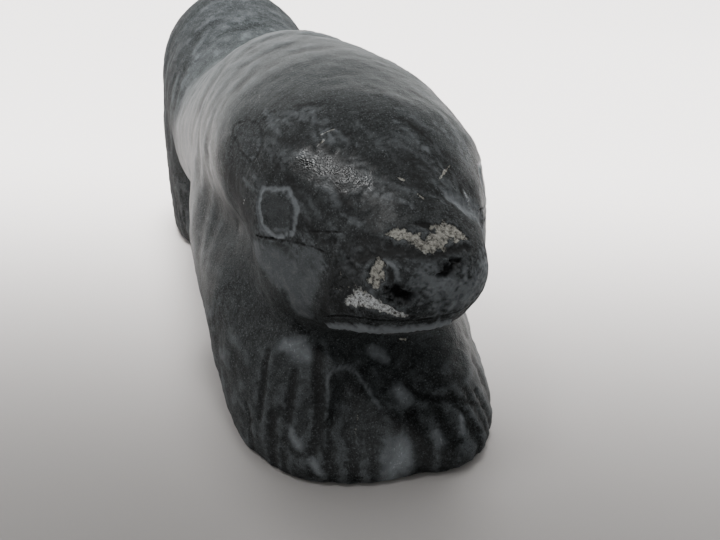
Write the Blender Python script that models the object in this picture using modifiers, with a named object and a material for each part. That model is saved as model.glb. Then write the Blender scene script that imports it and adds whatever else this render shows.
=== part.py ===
"""A small standing bear carved from one piece of soapstone.

The nose points along -Y, +Z is up and the feet stand on Z = 0. The origin is under the middle of the carving.
Each mass of the body is the hull of a few eggs, the way a carver roughs out a figure, and each hollow is the hull
of a few eggs too. The masses are fused, the hollows are cut, the whole is rubbed smooth, and then the sharp work is
done: the flat underside, the blunt front of the muzzle, the eye rings, the nostrils and the mouth.
"""

import math
from typing import NamedTuple

import bmesh
import bpy
from mathutils import Matrix, Vector

class Egg(NamedTuple):
    """An ellipsoid: where its middle is, and its half-sizes, in shares of the length."""
    centre: tuple
    radii: tuple


MM = 0.001

# The driving dimension. Every mass and cut below is a share of it, so the bear keeps its proportions.
LENGTH = 100 * MM
SHARE = LENGTH / 100

# The middle of the finished carving, which becomes the origin.
MIDDLE = (0, 0.7, 0)

# Rubbing down: the grid that fuses the masses, the strokes of the rasp, and the faces kept.
GRID = 0.7
RUBS = 14
KEPT_FACES = 0.118

# Stone colour and its dull, waxy polish.
STONE_COLOUR = (0.031, 0.035, 0.036, 1.0)
STONE_ROUGHNESS = 0.55

# The incised eyes: a six-sided ring on each side of the head.
EYE_CENTRE = (10.0, -38.0, 27.7)
EYE_FACING = (0.83, -0.53, 0.19)
EYE_RADIUS = 2.05
EYE_LINE = 0.22

# The muzzle is sawn off blunt. The cut leans back and turns a little to the bear's right.
MUZZLE_FRONT = (0, -48.9, 24.5)
MUZZLE_LEAN = 6.0
MUZZLE_TURN = -3.0

# Two pits for nostrils, the bear's right one lower, as it was drilled.
NOSTRILS = (Egg((-3.1, -48.8, 23.2), (0.75, 0.8, 0.6)), Egg((0.6, -48.8, 25.9), (0.65, 0.7, 0.55)))


def mirrored(eggs):
    """The same eggs on the other side of the bear."""
    return [Egg((-e.centre[0], e.centre[1], e.centre[2]), e.radii) for e in eggs]


def masses():
    """The hulls that make the body, from the back to the nose, then the legs."""
    shoulder = Egg((0, -8.9, 23.9), (13.8, 16.4, 15.4))
    waist = Egg((0, 12.0, 21.0), (14.5, 16.0, 12.5))
    rump = Egg((0, 32.3, 25.1), (13.9, 17.7, 16.8))
    nape = Egg((0, -22.4, 28.2), (13.5, 12.1, 10.3))
    skull = Egg((0, -32.5, 27.0), (12.2, 9.6, 9.4))
    jaw = Egg((0, -34.3, 19.4), (11.3, 7.5, 5.9))
    muzzle = Egg((0.2, -42.6, 22.4), (7.7, 5.6, 5.6))
    bridge = Egg((0, -41.2, 24.4), (6.8, 5.9, 6.8))
    nose = Egg((0.2, -44.9, 24.0), (6.1, 5.0, 4.6))
    tail = Egg((0, 48.0, 27.0), (3.0, 2.6, 4.6))
    yield shoulder, waist
    yield waist, rump
    yield shoulder, nape
    yield nape, skull
    yield skull, jaw
    yield jaw, muzzle, skull
    yield muzzle, nose
    yield skull, bridge
    yield bridge, nose
    yield rump, tail
    chest = Egg((0, -21.0, 17.0), (11.5, 11.0, 10.0))
    yield chest, shoulder
    yield chest, jaw
    upper = Egg((8.1, -14.0, 15.5), (7.9, 9.0, 9.5))
    yield upper, Egg((5.0, -28.5, 8.5), (7.4, 12.0, 8.0)), Egg((4.6, -31.2, 1.5), (10.2, 14.8, 5.5))
    yield shoulder, upper
    yield shoulder, *mirrored([upper])
    yield *mirrored([upper]), Egg((-7.2, -28.2, 8.5), (7.8, 12.0, 8.0)), Egg((-4.4, -29.2, 1.5), (11.0, 14.8, 5.5))
    yield Egg((4.0, -30.8, 1.5), (9.0, 15.0, 5.0)), Egg((-4.0, -29.6, 1.5), (9.0, 15.0, 5.0))
    leg = [Egg((7.7, 29.7, 18.0), (7.2, 13.0, 13.0)), Egg((7.6, 29.1, 2.0), (7.6, 15.0, 6.0))]
    yield leg
    yield mirrored(leg)
    ear = [Egg((9.2, -30.0, 30.8), (2.5, 2.7, 2.5))]
    yield ear
    yield mirrored(ear)


def hollows():
    """The hulls that are cut away before the rubbing down."""
    stop = [Egg((9.9, -44.0, 25.6), (3.2, 3.4, 4.2))]
    yield stop
    yield mirrored(stop)
    yield (Egg((-4.4, -39.0, 10.4), (0.9, 2.4, 1.0)), Egg((-5.9, -42.6, 5.0), (1.0, 2.4, 1.0)),
           Egg((-1.2, -43.4, 4.8), (1.0, 2.4, 1.0)))
    yield Egg((-7.1, -37.9, 13.4), (0.6, 1.7, 1.2)), Egg((-8.1, -42.2, 4.6), (0.6, 1.7, 1.0))


def at(point):
    """A point set out in shares of the length, measured from the origin of the finished carving."""
    return (Vector(point) - Vector(MIDDLE)) * SHARE


def egg(mesh, one):
    """Adds one egg to the mesh."""
    place = Matrix.Translation(at(one.centre))
    place @= Matrix.Diagonal((*(r * SHARE for r in one.radii), 1))
    bmesh.ops.create_uvsphere(mesh, u_segments=24, v_segments=16, radius=1.0, matrix=place)


def hull(eggs):
    """The convex hull of some eggs, as a bmesh."""
    shell = bmesh.new()
    for one in eggs:
        egg(shell, one)
    bmesh.ops.delete(shell, geom=shell.edges[:], context="EDGES_FACES")
    found = bmesh.ops.convex_hull(shell, input=shell.verts)
    inner = {v for key in ("geom_interior", "geom_unused") for v in found[key] if isinstance(v, bmesh.types.BMVert)}
    bmesh.ops.delete(shell, geom=list(inner), context="VERTS")
    bmesh.ops.recalc_face_normals(shell, faces=shell.faces)
    return shell


def new_object(name, mesh, collection):
    """Turns a bmesh into an object in the collection."""
    data = bpy.data.meshes.new(name)
    mesh.to_mesh(data)
    mesh.free()
    made = bpy.data.objects.new(name, data)
    collection.objects.link(made)
    return made


def joined(name, groups, collection):
    """One object from several hulls, which may overlap."""
    rough = bmesh.new()
    for eggs in groups:
        shell = hull(eggs)
        piece = bpy.data.meshes.new("piece")
        shell.to_mesh(piece)
        shell.free()
        rough.from_mesh(piece)
        bpy.data.meshes.remove(piece)
    return new_object(name, rough, collection)


def cutter(name, mesh, collection):
    """A cutting body: kept out of the picture and drawn as wire."""
    made = new_object(name, mesh, collection)
    made.hide_render = True
    made.display_type = "WIRE"
    return made


def cut(body, tool):
    """Cuts the tool out of the body."""
    step = body.modifiers.new(tool.name, "BOOLEAN")
    step.operation = "DIFFERENCE"
    step.solver = "EXACT"
    step.object = tool


def ground_block():
    """A block whose top is the table the bear stands on."""
    block = bmesh.new()
    place = Matrix.Translation((0, 0, -1.5 * LENGTH))
    bmesh.ops.create_cube(block, size=3 * LENGTH, matrix=place)
    return block


def muzzle_block():
    """A block whose back face is the sawn front of the muzzle."""
    block = bmesh.new()
    place = Matrix.Translation(at(MUZZLE_FRONT))
    place @= Matrix.Rotation(math.radians(MUZZLE_TURN), 4, "Z") @ Matrix.Rotation(math.radians(MUZZLE_LEAN), 4, "X")
    place @= Matrix.Translation((0, -LENGTH / 10, 0))
    bmesh.ops.create_cube(block, size=LENGTH / 5, matrix=place)
    return block


def eye_ring(side):
    """A six-sided ring with a diamond section, laid on the side of the head."""
    facing = Vector(EYE_FACING) * Vector((side, 1, 1))
    place = Matrix.Translation(at(Vector(EYE_CENTRE) * Vector((side, 1, 1))))
    place @= facing.to_track_quat("Z", "Y").to_matrix().to_4x4()
    ring = bmesh.new()
    corners = 6
    rows = []
    for step in range(corners):
        turn = math.tau * step / corners
        out = Vector((math.cos(turn), math.sin(turn), 0))
        line = EYE_LINE * SHARE
        section = (out * line, Vector((0, 0, line * 1.6)), -out * line, Vector((0, 0, -line * 1.6)))
        rows.append([ring.verts.new(place @ (out * EYE_RADIUS * SHARE + offset)) for offset in section])
    for row, following in zip(rows, rows[1:] + rows[:1]):
        for k in range(4):
            ring.faces.new((row[k], following[k], following[(k + 1) % 4], row[(k + 1) % 4]))
    bmesh.ops.recalc_face_normals(ring, faces=ring.faces)
    return ring


def stone():
    """Dark soapstone, oiled and rubbed."""
    made = bpy.data.materials.new("soapstone")
    made.use_nodes = True
    shader = made.node_tree.nodes["Principled BSDF"]
    shader.inputs["Base Color"].default_value = STONE_COLOUR
    shader.inputs["Roughness"].default_value = STONE_ROUGHNESS
    shader.inputs["Metallic"].default_value = 0.0
    return made


def fuse(body, grid):
    """Fuses overlapping masses on a grid."""
    step = body.modifiers.new("fuse", "REMESH")
    step.mode = "VOXEL"
    step.voxel_size = grid * SHARE


def new_collection(name):
    """A collection in the scene."""
    made = bpy.data.collections.new(name)
    bpy.context.scene.collection.children.link(made)
    return made


def main():
    for old in list(bpy.data.objects):
        bpy.data.objects.remove(old)
    parts = new_collection("bear_carving")
    cutters = new_collection("cutters")
    bear = joined("bear", masses(), parts)
    fuse(bear, GRID)
    for number, eggs in enumerate(hollows()):
        cut(bear, cutter(f"hollow_{number}", hull(eggs), cutters))
    fuse(bear, GRID)
    rub = bear.modifiers.new("rub", "SMOOTH")
    rub.factor = 0.5
    rub.iterations = RUBS
    thin = bear.modifiers.new("thin", "DECIMATE")
    thin.ratio = KEPT_FACES
    cut(bear, cutter("ground", ground_block(), cutters))
    cut(bear, cutter("muzzle_front", muzzle_block(), cutters))
    cut(bear, cutter("eye_left", eye_ring(1), cutters))
    cut(bear, cutter("eye_right", eye_ring(-1), cutters))
    for number, pit in enumerate(NOSTRILS):
        cut(bear, cutter(f"nostril_{number}", hull([pit]), cutters))
    bear.data.materials.append(stone())
    bear.data.polygons.foreach_set("use_smooth", [True] * len(bear.data.polygons))


main()
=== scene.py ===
"""Dresses a small carved soapstone bear: its tool marks, chips, worn places and stone, and a plain studio.

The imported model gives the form. A finer skin is laid over that form, tool marks are cut into the skin, and
each mark leaves its stain as an attribute that the stone's material reads. Lengths below are in millimetres
unless they say otherwise. The nose points along -Y, +Z is up and the bear's left side is towards +X.
"""

import logging
import math
from collections.abc import Iterator
from dataclasses import dataclass, field, replace
from enum import Enum

import bmesh
import bpy
import numpy as np
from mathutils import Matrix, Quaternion, Vector, noise
from mathutils.bvhtree import BVHTree
from mathutils.kdtree import KDTree

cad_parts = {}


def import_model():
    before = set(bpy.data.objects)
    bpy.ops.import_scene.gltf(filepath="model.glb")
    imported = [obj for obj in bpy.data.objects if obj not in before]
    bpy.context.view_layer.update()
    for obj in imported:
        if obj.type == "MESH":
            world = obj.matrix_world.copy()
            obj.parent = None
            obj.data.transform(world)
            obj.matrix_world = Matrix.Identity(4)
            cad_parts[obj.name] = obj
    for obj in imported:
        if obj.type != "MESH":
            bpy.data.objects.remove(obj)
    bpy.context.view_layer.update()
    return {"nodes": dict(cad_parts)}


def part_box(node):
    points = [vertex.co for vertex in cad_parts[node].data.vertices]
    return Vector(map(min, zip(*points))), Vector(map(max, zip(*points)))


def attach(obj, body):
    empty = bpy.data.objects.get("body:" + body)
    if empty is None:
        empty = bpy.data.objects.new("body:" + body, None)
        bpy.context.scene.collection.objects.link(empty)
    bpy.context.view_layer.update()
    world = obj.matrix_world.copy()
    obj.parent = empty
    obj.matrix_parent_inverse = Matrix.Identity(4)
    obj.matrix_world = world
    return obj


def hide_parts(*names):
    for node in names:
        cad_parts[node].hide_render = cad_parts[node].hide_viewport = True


LOG = logging.getLogger("bear")
MM = 0.001

Point = tuple[float, float, float]
Spot = tuple[float, float, float, float]
Route = tuple[Spot, ...]
Pair = tuple[float, float]
Colour = tuple[float, float, float, float]
Socket = bpy.types.NodeSocket


def linear(code: str) -> Colour:
    """Turns an sRGB hex colour into the linear values that a shader takes.

    Args:
        code: The colour as six hex digits, with or without a leading hash.

    Returns:
        Red, green, blue and a full alpha.
    """
    digits = code.lstrip("#")
    parts = [int(digits[k:k + 2], 16) / 255 for k in (0, 2, 4)]
    low_end, slope, lift, power = 0.04045, 12.92, 0.055, 2.4
    return (*(p / slope if p <= low_end else ((p + lift) / (1 + lift)) ** power for p in parts), 1.0)


def add(tree: bpy.types.NodeTree, kind: str, inputs: dict | None = None,
        **settings: object) -> bpy.types.Node:
    """Adds a node with its settings, values and links.

    Args:
        tree: The node tree that takes the node.
        kind: The node's type name.
        inputs: For each input, by name or number, a value or the output that feeds it.
        settings: The node's own properties.

    Returns:
        The new node.
    """
    node = tree.nodes.new(kind)
    for name, value in settings.items():
        setattr(node, name, value)
    for key, value in (inputs or {}).items():
        if isinstance(value, bpy.types.NodeSocket):
            tree.links.new(value, node.inputs[key])
        else:
            node.inputs[key].default_value = value
    return node


def new_object(name: str, shape: bmesh.types.BMesh) -> bpy.types.Object:
    """Turns a bmesh into an object of the scene.

    Args:
        name: The name of the object and of its mesh.
        shape: The bmesh, which is freed.

    Returns:
        The new object.
    """
    mesh = bpy.data.meshes.new(name)
    shape.to_mesh(mesh)
    shape.free()
    made = bpy.data.objects.new(name, mesh)
    bpy.context.scene.collection.objects.link(made)
    return made


def part_way(gap: np.ndarray, stretch: float) -> np.ndarray:
    """How far a gap reaches along a stretch, from 0 to 1."""
    return np.clip(gap / stretch, 0.0, 1.0)


class Tool(Enum):
    """The tools that shaped or marked the stone, by the section of the cut that each leaves."""
    GRAVER = "a V-shaped line"
    SCRAPER = "a shallow hollow with soft edges"
    CHISEL = "a step, deep and steep on the left of the stroke and running out to its right"
    CHIP = "a broken hollow with a rough floor"

    def section(self, away: np.ndarray, side: np.ndarray, rough: np.ndarray) -> np.ndarray:
        """The depth of the cut across the stroke.

        Args:
            away: How far each point is from the middle of the stroke, in half-widths.
            side: How far each point is to the right of the stroke, in half-widths.
            rough: Noise at each point, from about -1 to 1.

        Returns:
            The depth at each point, where 1 is the stroke's full depth.
        """
        steep, ending, unevenness = 3.0, 1.6, 0.6
        cover = np.clip(1.0 - away, 0.0, 1.0)
        if self is Tool.GRAVER:
            return cover
        if self is Tool.SCRAPER:
            return cover * cover * (3.0 - 2.0 * cover)
        if self is Tool.CHISEL:
            ramp = np.clip(1.0 - side, 0.0, 1.0) * np.clip(1.0 + side * steep, 0.0, 1.0)
            return ramp * np.clip(2.0 - ending * away, 0.0, 1.0)
        return np.clip(cover * steep, 0.0, 1.0) * (1.0 + unevenness * rough)


class Stain(Enum):
    """What a mark leaves on the stone. Each value is the name of the attribute that the material reads. The
    dark stain also carries painted shade, and the pale rubbed stain painted highlights.
    """
    BRUISE = "bruise"
    BURNISH_AND_HIGHLIGHT = "burnish_and_highlight"
    GRIME_AND_SHADE = "grime_and_shade"
    PEBBLE = "pebble"
    WAX = "wax"
    RIDGE = "ridge"


@dataclass(frozen=True)
class Mark:
    """One stroke of a tool.

    Attributes:
        path: The spots that the stroke passes, each x, y, z and the stroke's width there.
        depth: How deep the stroke is cut. A stroke under 0 leaves a raised strip.
        stains: What the stroke leaves on the stone. Over 1, a stain is full further from the middle.
        tool: The tool, which gives the section.
        ragged: How far the edge of the stroke wanders, as a share of its width.
        crisp: How sharply the stain ends, from 1 for a stain that fades all the way from the middle.
    """
    path: Route
    depth: float = 0.0
    stains: dict[Stain, float] = field(default_factory=dict)
    tool: Tool = Tool.SCRAPER
    ragged: float = 0.15
    crisp: float = 2.5

    def mirrored(self) -> "Mark":
        """The same stroke on the other side of the bear."""
        return replace(self, path=tuple((-x, y, z, width) for x, y, z, width in self.path))

    def wider(self, share: float) -> "Mark":
        """The same stroke, that many times as wide."""
        return replace(self, path=tuple((x, y, z, width * share) for x, y, z, width in self.path))

    def finest(self) -> float:
        """The length of mesh edge that the stroke needs to show."""
        return min(spot[3] for spot in self.path) / 3

    def filled(self, spacing: float) -> Iterator[Spot]:
        """The spots of the stroke, with more of them set between the ones it names.

        Args:
            spacing: About how far apart the spots are set.

        Yields:
            Each spot, from the start of the stroke to its end.
        """
        spots = np.array(self.path)
        yield tuple(spots[0])
        for start, end in zip(spots, spots[1:]):
            count = max(1, int(np.linalg.norm(end[:3] - start[:3]) / spacing))
            for k in range(1, count + 1):
                yield tuple(start + (end - start) * k / count)


def tapered(middle: np.ndarray, reach: np.ndarray, width: float, ends: Pair, bow: float = 0.0) -> Route:
    """A short route through a middle, with its ends' widths as shares of that one, and bowed up a little."""
    return ((*(middle - reach), width * ends[0]), (*(middle + (0, 0, bow)), width),
            (*(middle + reach), width * ends[1]))


@dataclass
class Skin:
    """The surface of the stone, as arrays that the tools move and stain.

    Attributes:
        mesh: The mesh that the arrays are read from and written back to.
        step: The distance between the samples along a stroke.
        easing: How many times a stroke's corners are rounded.
        margin: How far out a stroke is felt, in widths.
        uneven_size: The size of the wander in the strokes' edges.
    """
    mesh: bpy.types.Mesh
    step: float = 0.12
    easing: int = 6
    margin: float = 1.2
    uneven_size: float = 0.45
    places: np.ndarray = field(init=False)
    form: np.ndarray = field(init=False)
    facing: np.ndarray = field(init=False)
    stains: dict[Stain, np.ndarray] = field(init=False)
    tree: BVHTree = field(init=False)
    uneven: np.ndarray = field(init=False)

    def __post_init__(self) -> None:
        """Reads the points and their normals, in millimetres, and starts with a clean surface."""
        count = len(self.mesh.vertices)
        self.places = np.empty(count * 3)
        self.mesh.vertices.foreach_get("co", self.places)
        self.places = self.places.reshape(-1, 3) / MM
        self.form = self.places.copy()
        self.facing = np.empty(count * 3)
        self.mesh.vertices.foreach_get("normal", self.facing)
        self.facing = self.facing.reshape(-1, 3)
        self.stains = {stain: np.zeros(count) for stain in Stain}
        faces = [tuple(face.vertices) for face in self.mesh.polygons]
        self.tree = BVHTree.FromPolygons([Vector(p) for p in self.places], faces)
        self.uneven = self.grain(self.uneven_size)

    def grain(self, size: float, depth: int = 2) -> np.ndarray:
        """Smooth noise at every point.

        Args:
            size: The size of its blobs.
            depth: How many finer octaves are laid over it.

        Returns:
            One value for each point, from about -1 to 1.
        """
        return np.array([noise.fractal(Vector(p) / size, 1.0, 2.0, depth) for p in self.places])

    def lay(self, mark: Mark) -> tuple[np.ndarray, np.ndarray, np.ndarray]:
        """Lays a stroke's path on the stone.

        Args:
            mark: The stroke.

        Returns:
            The samples along the path, the width at each, and the direction to the stroke's right at each.
        """
        spots = np.array(mark.path)
        lengths = np.linalg.norm(np.diff(spots[:, :3], axis=0), axis=1)
        along = np.concatenate(((0.0,), np.cumsum(lengths)))
        count = max(2, int(along[-1] / self.step) + 1)
        where = np.linspace(0.0, along[-1], count)
        spread = np.stack([np.interp(where, along, spots[:, k]) for k in range(4)], axis=1)
        for _ in range(self.easing):
            spread[1:-1] = (spread[:-2] + 2.0 * spread[1:-1] + spread[2:]) / 4.0
        found = [self.tree.find_nearest(Vector(p)) for p in spread[:, :3]]
        samples = np.array([hit[0] for hit in found])
        out = np.array([hit[1] for hit in found])
        heading = np.gradient(samples, axis=0)
        right = np.cross(heading, out)
        right /= np.maximum(np.linalg.norm(right, axis=1, keepdims=True), 1e-9)
        return samples, spread[:, 3], right

    def press(self, mark: Mark) -> None:
        """Cuts one stroke into the stone and leaves its stains. Burnishing cleans earlier grime off.

        Args:
            mark: The stroke.
        """
        samples, widths, right = self.lay(mark)
        reach = widths.max() * self.margin
        inside = (self.places > samples.min(axis=0) - reach) & (self.places < samples.max(axis=0) + reach)
        near = np.flatnonzero(inside.all(axis=1))
        gaps = self.places[near][:, None] - samples[None]
        far = np.linalg.norm(gaps, axis=2)
        closest = far.argmin(axis=1)
        rows = np.arange(len(near))
        half = widths[closest] / 2
        away = far[rows, closest] / half + self.uneven[near] * mark.ragged * 2
        side = (gaps[rows, closest] * right[closest]).sum(axis=1) / half
        deep = mark.tool.section(away, side, self.uneven[near])
        self.places[near] -= self.facing[near] * (deep * mark.depth)[:, None]
        edge = np.clip((1.0 - away) * mark.crisp, 0.0, 1.0)
        for stain, amount in mark.stains.items():
            self.stains[stain][near] = np.maximum(self.stains[stain][near], edge * amount)
            if stain is Stain.BURNISH_AND_HIGHLIGHT:
                self.stains[Stain.GRIME_AND_SHADE][near] *= 1.0 - edge * min(amount, 1.0)

    def wear(self, rounds: int, full: float) -> None:
        """Finds the ridges and hollows that the tools left, which rubbing wears and soil fills.

        Args:
            rounds: How many times the relief is averaged, which sets the size of the ridges that count.
            full: The height over the averaged relief that counts as fully worn.
        """
        pairs = np.empty(len(self.mesh.edges) * 2, dtype=np.int64)
        self.mesh.edges.foreach_get("vertices", pairs)
        one, two = pairs.reshape(-1, 2).T
        count = len(self.places)
        share = np.bincount(one, minlength=count) + np.bincount(two, minlength=count)
        relief = ((self.places - self.form) * self.facing).sum(axis=1)
        even = relief.copy()
        for _ in range(rounds):
            around = np.bincount(one, even[two], count) + np.bincount(two, even[one], count)
            even = 0.5 * even + 0.5 * around / share
        self.stains[Stain.RIDGE] = np.clip((relief - even) / full, -1.0, 1.0)

    def write(self) -> None:
        """Writes the points and stains back to the mesh."""
        self.mesh.vertices.foreach_set("co", (self.places * MM).ravel())
        for stain, values in self.stains.items():
            layer = self.mesh.attributes.new(stain.value, "FLOAT", "POINT")
            layer.data.foreach_set("value", values)
        self.mesh.update()


@dataclass(frozen=True)
class Eye:
    """The six-sided eye that a graver drew on the side of the head, and the scraped stone round it."""
    ring: Route = (
        (-10.9, -36.5, 29.2, 0.6), (-9.1, -38.9, 29.8, 0.6), (-8.7, -40.2, 28.4, 0.66),
        (-9.3, -40.3, 26.3, 0.7), (-10.3, -38.4, 25.3, 0.75), (-11.1, -36.9, 26.0, 0.7),
        (-11.2, -36.4, 27.6, 0.6))
    behind: Route = (
        (-11.0, -36.3, 28.8, 0.3), (-11.3, -36.2, 27.4, 0.55), (-11.2, -36.6, 25.8, 0.55),
        (-10.7, -37.7, 25.1, 0.4))
    below: Route = ((-10.3, -38.5, 26.1, 0.5), (-9.7, -39.5, 26.3, 0.6), (-9.2, -39.9, 26.8, 0.4))
    inside: Route = ((-10.3, -37.7, 28.4, 2.2), (-9.6, -39.2, 27.6, 2.6), (-10.0, -38.6, 26.6, 2.0))
    # A darker patch on the side of the head behind the eye.
    dark_patch: Route = ((-12.2, -29.5, 28.5, 4.0), (-12.2, -32.0, 27.0, 5.5), (-11.9, -34.3, 25.4, 4.0))
    line_depth: float = 0.14

    def marks(self) -> Iterator[Mark]:
        """The strokes of the bear's right eye."""
        line = self.ring + self.ring[:2]
        # Darkens the side of the head behind the eye.
        yield Mark(self.dark_patch, 0.0, {Stain.GRIME_AND_SHADE: 0.85}, ragged=0.3, crisp=1.2)
        yield Mark(self.inside, 0.05, {Stain.GRIME_AND_SHADE: 0.4, Stain.BURNISH_AND_HIGHLIGHT: 0.3}, ragged=0.4)
        yield Mark(self.behind, 0.07, {Stain.BURNISH_AND_HIGHLIGHT: 0.7})
        yield Mark(self.below, 0.04, {Stain.BURNISH_AND_HIGHLIGHT: 0.7})
        yield Mark(line, self.line_depth, {Stain.BURNISH_AND_HIGHLIGHT: 1.7}, Tool.GRAVER, ragged=0.25, crisp=1.6)


@dataclass(frozen=True)
class Cheek:
    """The flat rubbed cheek below the eye, with its crisp front edge, painted shade on the muzzle's side
    beside that edge, and the cracks above it.
    """
    facet: Route = (
        (-11.1, -35.6, 22.8, 3.4), (-10.4, -38.2, 22.5, 5.6), (-9.4, -40.2, 22.2, 5.8),
        (-9.1, -40.6, 20.4, 4.2), (-8.9, -40.1, 18.5, 3.0))
    step: Route = (
        (-6.9, -43.7, 25.6, 2.2), (-7.3, -43.4, 24.3, 3.4), (-7.7, -43.1, 22.7, 4.0),
        (-8.1, -42.2, 20.5, 3.6), (-7.8, -41.2, 18.5, 2.0))
    front: Route = ((-8.4, -42.0, 24.4, 3.4), (-8.5, -41.9, 22.9, 3.4), (-8.8, -41.4, 21.2, 2.4))
    # Painted shade on the muzzle's side, along the cheek's front step.
    shade: Route = (
        (-6.6, -44.6, 25.0, 2.2), (-7.0, -44.3, 23.4, 2.4), (-7.3, -43.8, 21.4, 2.2),
        (-7.6, -42.8, 19.6, 1.4))
    cracks: tuple[Route, ...] = (
        ((-8.9, -40.8, 26.7, 0.22), (-8.3, -41.5, 26.7, 0.34), (-7.4, -42.4, 27.0, 0.32),
         (-6.1, -43.8, 27.4, 0.22)),
        ((-11.4, -35.9, 24.6, 0.3), (-10.5, -38.2, 25.1, 0.42), (-9.5, -40.0, 25.5, 0.4),
         (-8.7, -41.3, 25.6, 0.42), (-7.8, -42.4, 25.6, 0.36), (-7.0, -43.6, 25.4, 0.24)),
        ((-8.7, -41.5, 24.2, 0.2), (-8.4, -42.0, 23.8, 0.3), (-8.6, -41.9, 23.2, 0.2)))
    crack_depth: float = 0.18

    def marks(self) -> Iterator[Mark]:
        """The strokes of the bear's right cheek."""
        for flat in (self.facet, self.front):
            yield Mark(flat, 0.06, {Stain.BURNISH_AND_HIGHLIGHT: 0.52}, ragged=0.08, crisp=2.6)
        yield Mark(self.step, 0.1, tool=Tool.CHISEL)
        # Painted shade: darkens the muzzle's side beside the step.
        yield Mark(self.shade, 0.0, {Stain.GRIME_AND_SHADE: 0.6}, ragged=0.25, crisp=1.5)
        for crack in self.cracks:
            yield Mark(crack, self.crack_depth, {Stain.GRIME_AND_SHADE: 1.0}, Tool.GRAVER, ragged=0.3)


@dataclass(frozen=True)
class Muzzle:
    """The blunt, chipped end of the muzzle: rim, nostrils, lip and chin, with painted shade on its right side
    and a painted shadow under the rim.
    """
    rim: Route = (
        (-3.1, -46.6, 28.1, 0.8), (-2.3, -47.2, 28.1, 1.2), (-1.7, -47.7, 27.9, 1.35),
        (-1.2, -48.1, 27.7, 1.4), (-0.5, -48.7, 27.4, 1.6), (0.3, -48.4, 27.6, 2.0), (1.0, -47.7, 28.1, 2.4),
        (1.8, -47.7, 28.0, 2.3), (2.5, -47.9, 27.6, 1.7), (3.1, -47.9, 27.3, 0.6))
    rim_notch: Route = ((-0.8, -46.9, 28.7, 0.7), (-0.1, -47.1, 28.6, 1.1), (0.2, -47.6, 28.2, 0.8))
    # A shallow hollow under the chipped rim, darkened as its painted shadow.
    rim_shadow: Route = (
        (-6.0, -45.6, 25.3, 1.6), (-4.7, -46.6, 26.6, 2.0), (-2.8, -48.1, 27.0, 1.6),
        (-0.4, -49.1, 26.8, 1.3), (1.4, -49.0, 26.9, 1.2), (2.9, -48.6, 26.8, 0.9))
    # A hollow at the top of the muzzle's right side, darkened as painted shade.
    hollow: Route = ((-5.2, -45.2, 27.3, 1.6), (-4.4, -46.4, 27.2, 2.2), (-3.3, -47.2, 27.2, 1.4))
    wing: Route = (
        (-4.5, -47.3, 26.3, 0.8), (-4.5, -47.7, 25.8, 1.8), (-4.8, -47.7, 25.1, 1.9),
        (-4.8, -47.9, 24.4, 1.2))
    wing_ridge: Route = (
        (-4.2, -47.7, 26.4, 0.4), (-3.5, -48.5, 26.2, 0.5), (-3.3, -48.9, 25.6, 0.55),
        (-3.3, -49.2, 24.8, 0.4))
    wing_groove: Route = ((-3.8, -48.4, 25.7, 0.6), (-3.8, -48.8, 24.9, 0.8), (-3.6, -49.0, 24.2, 0.8))
    right_nostril: Route = ((-3.6, -48.9, 23.9, 1.8), (-3.1, -49.0, 23.5, 2.4), (-2.7, -49.3, 23.5, 2.0))
    left_nostril: Route = ((0.1, -49.4, 25.2, 1.1), (0.8, -49.2, 25.6, 1.7), (1.6, -49.4, 25.9, 1.2))
    lip: Route = (
        (-6.5, -45.7, 21.9, 0.9), (-5.7, -46.8, 22.6, 1.9), (-4.9, -47.8, 22.6, 1.7),
        (-4.1, -48.4, 22.3, 1.2), (-3.2, -48.8, 21.9, 0.9), (-2.4, -49.1, 21.5, 0.45))
    lip_nick: Route = ((-6.0, -46.3, 23.8, 0.5), (-5.5, -46.9, 23.4, 0.9), (-5.2, -47.4, 23.2, 0.7))
    mouth: Route = (
        (-7.4, -42.3, 18.9, 0.3), (-6.6, -44.7, 20.2, 0.4), (-5.4, -46.5, 20.7, 0.4),
        (-3.8, -47.9, 20.9, 0.4), (-2.1, -48.9, 21.0, 0.4), (-0.1, -49.2, 21.0, 0.4),
        (2.1, -49.0, 21.1, 0.36), (3.8, -48.6, 21.5, 0.3), (5.4, -47.2, 21.6, 0.2))
    chin: Route = (
        (-6.3, -41.6, 17.4, 1.6), (-5.6, -43.9, 18.4, 1.9), (-4.6, -46.0, 19.1, 2.0),
        (-3.0, -47.5, 19.6, 2.0), (-1.3, -48.2, 19.8, 1.8), (0.4, -48.5, 19.9, 1.5), (1.6, -48.4, 20.0, 0.9))
    # The right side of the muzzle, darkened as painted shade.
    side: Route = ((-6.0, -45.0, 26.0, 3.2), (-6.2, -45.9, 24.2, 3.4), (-6.6, -45.3, 21.9, 3.0))
    face: Route = (
        (-1.2, -49.5, 25.0, 3.6), (1.0, -49.4, 23.6, 5.6), (2.8, -49.2, 22.8, 5.4), (4.3, -48.4, 24.0, 4.8))
    end: Point = (0.8, -49.5, 24.0)
    end_spread: Point = (4.6, 0.8, 2.8)
    end_pits: int = 46
    flank: Point = (-6.0, -45.6, 24.0)
    flank_spread: Point = (1.2, 2.2, 3.2)
    flank_pits: int = 40
    pit_run: float = 0.45
    pit_widths: Pair = (0.35, 0.95)
    pit_depths: Pair = (0.03, 0.09)
    pit_end: float = 0.6
    pale_pits: float = 0.45
    seed: int = 7
    streaks: int = 44
    streak_spread: Point = (3.6, 0.2, 2.2)
    streak_slant: Point = (0.72, 0.0, 0.62)
    streak_reaches: Pair = (0.6, 1.7)
    streak_widths: Pair = (0.15, 0.38)
    streak_depths: Pair = (0.03, 0.07)
    streak_stains: Pair = (0.5, 1.0)
    streak_ends: Pair = (0.6, 0.6)
    streak_bow: float = 0.1

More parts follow.
